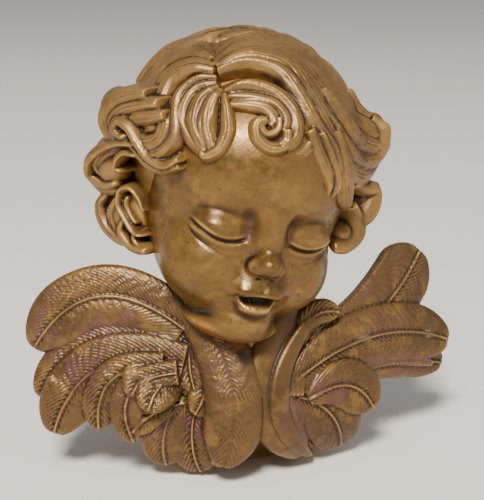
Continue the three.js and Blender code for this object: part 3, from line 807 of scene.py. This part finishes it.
def paint(name, gold, skin, purple, orange_spots, shadow_spots):
    """One tone of gold over the ground. The three lists are places: where the purple ground shows, where an
    orange line runs, and where shadow is painted.
    """
    material = bpy.data.materials.new(name)
    material.use_nodes = True
    nodes, links = material.node_tree.nodes, material.node_tree.links
    shader = nodes["Principled BSDF"]
    place = nodes.new("ShaderNodeTexCoord").outputs["Object"]

    def cloud(scale, detail=4.0, rough=0.6):
        """Noise, with as many waves to the metre as the scale says."""
        node = nodes.new("ShaderNodeTexNoise")
        node.inputs["Scale"].default_value = scale
        node.inputs["Detail"].default_value = detail
        node.inputs["Roughness"].default_value = rough
        links.new(place, node.inputs["Vector"])
        return node.outputs["Fac"]

    def relief(which):
        node = nodes.new("ShaderNodeAttribute")
        node.attribute_name = which
        return node.outputs["Fac"]

    def scale(value, low, high, to_low=0.0, to_high=1.0):
        """A smooth ramp, which goes down where low is above high."""
        node = nodes.new("ShaderNodeMapRange")
        node.interpolation_type = "SMOOTHSTEP"
        for slot, number in (("From Min", low), ("From Max", high), ("To Min", to_low), ("To Max", to_high)):
            node.inputs[slot].default_value = number
        links.new(value, node.inputs["Value"])
        return node.outputs["Result"]

    def times(a, b):
        node = nodes.new("ShaderNodeMath")
        node.operation = "MULTIPLY"
        links.new(a, node.inputs[0])
        if isinstance(b, float):
            node.inputs[1].default_value = b
        else:
            links.new(b, node.inputs[1])
        return node.outputs[0]

    def over(below, colour, factor):
        """One layer of colour over what lies below."""
        node = nodes.new("ShaderNodeMix")
        node.data_type = "RGBA"
        if isinstance(below, tuple):
            node.inputs["A"].default_value = (*below, 1)
        else:
            links.new(below, node.inputs["A"])
        node.inputs["B"].default_value = (*colour, 1)
        links.new(factor, node.inputs["Factor"])
        return node.outputs["Result"]

    def near(spots, radius, ragged=0.5):
        """1 close to any of the spots, in millimetres of the drawing frame, with a ragged edge."""
        total = None
        for spot in spots:
            node = nodes.new("ShaderNodeVectorMath")
            node.operation = "DISTANCE"
            links.new(place, node.inputs[0])
            node.inputs[1].default_value = (np.array(spot) + SHIFT) / 1000
            one = scale(node.outputs["Value"], radius / 1000, 0.35 * radius / 1000)
            if total is None:
                total = one
            else:
                join = nodes.new("ShaderNodeMath")
                join.operation = "MAXIMUM"
                links.new(total, join.inputs[0])
                links.new(one, join.inputs[1])
                total = join.outputs[0]
        return times(total, scale(cloud(170, 6), 0.5 - 0.1 * ragged, 0.5 + 0.2 * ragged, 1 - ragged, 1.0))

    fine, broad = relief("fine"), relief("broad")
    colour = over(gold, tuple(c * 0.5 for c in gold), scale(cloud(38), 0.40, 0.68))
    colour = over(colour, WARM_GOLD, times(scale(cloud(75), 0.47, 0.7), 0.4))
    # Painted shade: the broad hollows darken, less on the skin
    colour = over(colour, BROAD_PAINTED_SHADE, scale(broad, 0.1, -0.6, 0.0, 0.7 if skin else 0.95))
    in_broad_hollows = scale(broad, 0.25, -0.35, 0.15, 0.9)
    colour = over(colour, PURPLE_SHADE, times(scale(cloud(52, 6), 0.56, 0.66), in_broad_hollows))
    # Painted shade: the fine grooves between strands and barbs go nearly black
    colour = over(colour, GROOVE_PAINTED_SHADE, scale(fine, 0.05, -0.5, 0.0, 0.97))
    # Pale gold on the fine edges: gold rubbed bright, and painted highlight
    colour = over(colour, RUBBED_GOLD_AND_HIGHLIGHT, times(scale(fine, 0.1, 0.8), 0.7))
    off_edges = scale(fine, 0.7, -0.4, 0.2, 0.8)
    colour = over(colour, PURPLE_GROUND, times(near(purple, 6 if skin else 11, 0.9), off_edges))
    # An orange line under the chin
    colour = over(colour, ORANGE_LINE, times(near(orange_spots, 6, 0.3), 0.8))
    # Painted shadow: the mouth and the deepest gaps go nearly black
    colour = over(colour, DEEP_PAINTED_SHADOW, times(near(shadow_spots, 7, 0.1), 0.92))
    if skin:
        colour = over(colour, SPECK, times(scale(cloud(420, 2), 0.64, 0.70), 0.7))
        colour = over(colour, STAIN, times(scale(cloud(120, 8), 0.58, 0.66), 0.5))
    else:
        in_grooves = scale(fine, 0.1, -0.6, 0.0, 0.5)
        colour = over(colour, VERDIGRIS, times(scale(cloud(60, 5), 0.60, 0.70), in_grooves))
    links.new(colour, shader.inputs["Base Color"])
    shader.inputs["Metallic"].default_value = 0.5
    links.new(scale(cloud(160), 0.3, 0.7, 0.23 if skin else 0.34, 0.48), shader.inputs["Roughness"])
    bump = nodes.new("ShaderNodeBump")
    bump.inputs["Strength"].default_value = 0.25
    bump.inputs["Distance"].default_value = 0.0004
    links.new(cloud(700, 3), bump.inputs["Height"])
    links.new(bump.outputs["Normal"], shader.inputs["Normal"])
    return material


# %% [markdown]
# ## Where the paint is worn, and where shadow is painted
# The purple ground shows on the wings, in the hair and beside the eyes, an orange line runs
# under the chin, and the mouth and the deepest gaps get painted shadow. These places are lists of
# points: by x and z on the wings, by longitude and latitude in the hair, and elsewhere by x, y
# and z. Painting a mask by hand would work too, but it would be an image, tied to one mesh.

# %% Worn places and painted shadow
GOLD_SKIN = (0.19, 0.097, 0.021)
GOLD_HAIR = (0.27, 0.15, 0.046)
GOLD_WING = (0.13, 0.067, 0.022)

# Where the purple ground shows most
LEFT_BARE = [(-91, 57), (-82, 55), (-95, 64), (-102, 75), (-104, 86), (-63, 82), (-70, 79), (-62, 44),
             (-48, 26), (-27, 29), (-36, 62)]
RIGHT_BARE = [(32, 45), (40, 40), (14, 40), (18, 31), (20, 24), (65, 48), (81, 43), (95, 41), (60, 88)]


def on_wing(spots):
    return [v(x, sheet(x, z) - 5, z) for x, z in spots]


def on_head(spots):
    return [from_head(on_hair(direction(lon, lat), np.array(float(stand)))) for lon, lat, stand in spots]


HAIR_BARE = on_head([(-58, 22, 0), (-47, 20, 0), (-104, 14, 6), (-104, -12, 4), (-8, 33, -2), (72, 2, 4)])
FACE_BARE = [from_head(v(-11, -49, -4)), from_head(v(-38, -32, 14)), from_head(v(11, -49, -4))]

# The orange line under the chin, and painted shadow in the mouth and the deepest gaps in hair and wings
UNDER_CHIN = [v(-31, -38, 83), v(-26, -38, 79), v(-21, -38, 76), v(-16, -38, 73), v(-10, -37, 72),
              v(-4, -36, 75), v(1, -35, 78)]
MOUTH_SHADOW_SPOTS = [from_head(v(x, -48.5, -34.9)) for x in (-4, 0, 4)]
HAIR_SHADOW_SPOTS = on_head([(-20, 58, -1), (-10, 58, -1), (0, 54, -1), (-103, 2, 0), (-98, 22, 0), (-100, -16, 0)])
SHADOW_BEHIND_ROLL = [v(-24, -28, 42), v(-18, -29, 37), v(-30, -26, 48), v(2, -26, 30), v(0, -24, 58),
               v(-36, -22, 66), v(-8, -38, 66)]

paints = {
    "putto_face": paint("gold on skin", GOLD_SKIN, True, FACE_BARE, UNDER_CHIN, MOUTH_SHADOW_SPOTS),
    "hair_left": paint("gold on hair", GOLD_HAIR, False, HAIR_BARE, UNDER_CHIN, HAIR_SHADOW_SPOTS),
    "left_wing": paint("gold on left feathers", GOLD_WING, False, on_wing(LEFT_BARE), UNDER_CHIN,
                       SHADOW_BEHIND_ROLL),
    "right_wing": paint("gold on right feathers", GOLD_WING, False, on_wing(RIGHT_BARE), UNDER_CHIN,
                        SHADOW_BEHIND_ROLL),
}
paints["hair_right"] = paints["hair_back"] = paints["hair_left"]
paints["neck_and_back"] = paints["left_wing"]

# %% [markdown]
# ## Finishing the pieces
# Each skin gets its relief, its paint and smooth shading, and hangs from the root body, and the
# one solid of the part is hidden, so that the skins stand in its place in pictures.

# %% Finish the pieces
for name, piece in pieces.items():
    keep_inside(piece)
    note_relief(piece, PLAIN_BROAD_SIZE if name == "neck_and_back" else BROAD_SIZE)
    piece.data.materials.clear()
    piece.data.materials.append(paints[name])
    piece.data.polygons.foreach_set("use_smooth", np.ones(len(piece.data.polygons), dtype=bool))
    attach(piece, "root")
    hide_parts("winged_putto_head")
    print(name, sum(len(p.vertices) - 2 for p in piece.data.polygons), "triangles")

# %% [markdown]
# ## Stage
# A plain pale floor, soft light from above on the left, and a weak fill on the right. The key
# light is large and stands high, so that the barbs and strands throw short, soft shadows.

# %% Stage
bpy.ops.mesh.primitive_plane_add(size=40)
floor = bpy.context.object
floor.name = "floor"
floor_paint = bpy.data.materials.new("pale floor")
floor_paint.use_nodes = True
floor_shader = floor_paint.node_tree.nodes["Principled BSDF"]
floor_shader.inputs["Base Color"].default_value = (0.84, 0.79, 0.72, 1)
floor_shader.inputs["Roughness"].default_value = 0.9
floor.data.materials.append(floor_paint)

LOOK_AT_HEIGHT = 0.108
TARGET = Vector((SHIFT[0] / 1000, SHIFT[1] / 1000, LOOK_AT_HEIGHT))


def soft_light(name, place, power, size, colour=(1, 1, 1)):
    """A square light that looks at the piece, with its power in watts and its size in metres."""
    light = bpy.data.lights.new(name, "AREA")
    light.energy, light.size, light.color = power, size, colour
    lamp = bpy.data.objects.new(name, light)
    bpy.context.collection.objects.link(lamp)
    lamp.location = place
    lamp.rotation_euler = (TARGET - Vector(place)).to_track_quat("-Z", "Y").to_euler()


soft_light("key", (-1.1, -2.2, 2.9), 250, 0.9, (1, 0.97, 0.92))
soft_light("fill", (1.8, -1.2, 1.0), 8, 1.6)
world = bpy.context.scene.world or bpy.data.worlds.new("studio")
bpy.context.scene.world = world
world.use_nodes = True
air = world.node_tree.nodes["Background"]
air.inputs["Color"].default_value = (0.95, 0.96, 1, 1)
air.inputs["Strength"].default_value = 0.33
print("a floor and", len(bpy.data.lights), "lights")

# %% [markdown]
# ## Camera
# It stands 60 cm away, 15 degrees to the left of the front and 15 degrees above. The lens
# follows from a focal length of 1200 pixels in a picture that is 500 pixels high.

# %% Camera
DISTANCE, FOCAL_PIXELS, PICTURE_PIXELS, SENSOR_HEIGHT = 0.6, 1200, 500, 24
camera = bpy.data.objects.new("camera", bpy.data.cameras.new("camera"))
bpy.context.collection.objects.link(camera)
bpy.context.scene.camera = camera
camera.data.sensor_fit = "VERTICAL"
camera.data.sensor_height = SENSOR_HEIGHT
camera.data.lens = SENSOR_HEIGHT * FOCAL_PIXELS / PICTURE_PIXELS
azimuth, elevation = math.radians(-15), math.radians(15)
level = math.cos(elevation)
away = Vector((math.sin(azimuth) * level, -math.cos(azimuth) * level, math.sin(elevation)))
camera.location = TARGET + DISTANCE * away
camera.rotation_euler = (-away).to_track_quat("-Z", "Y").to_euler()
print("camera at", tuple(round(c, 3) for c in camera.location))
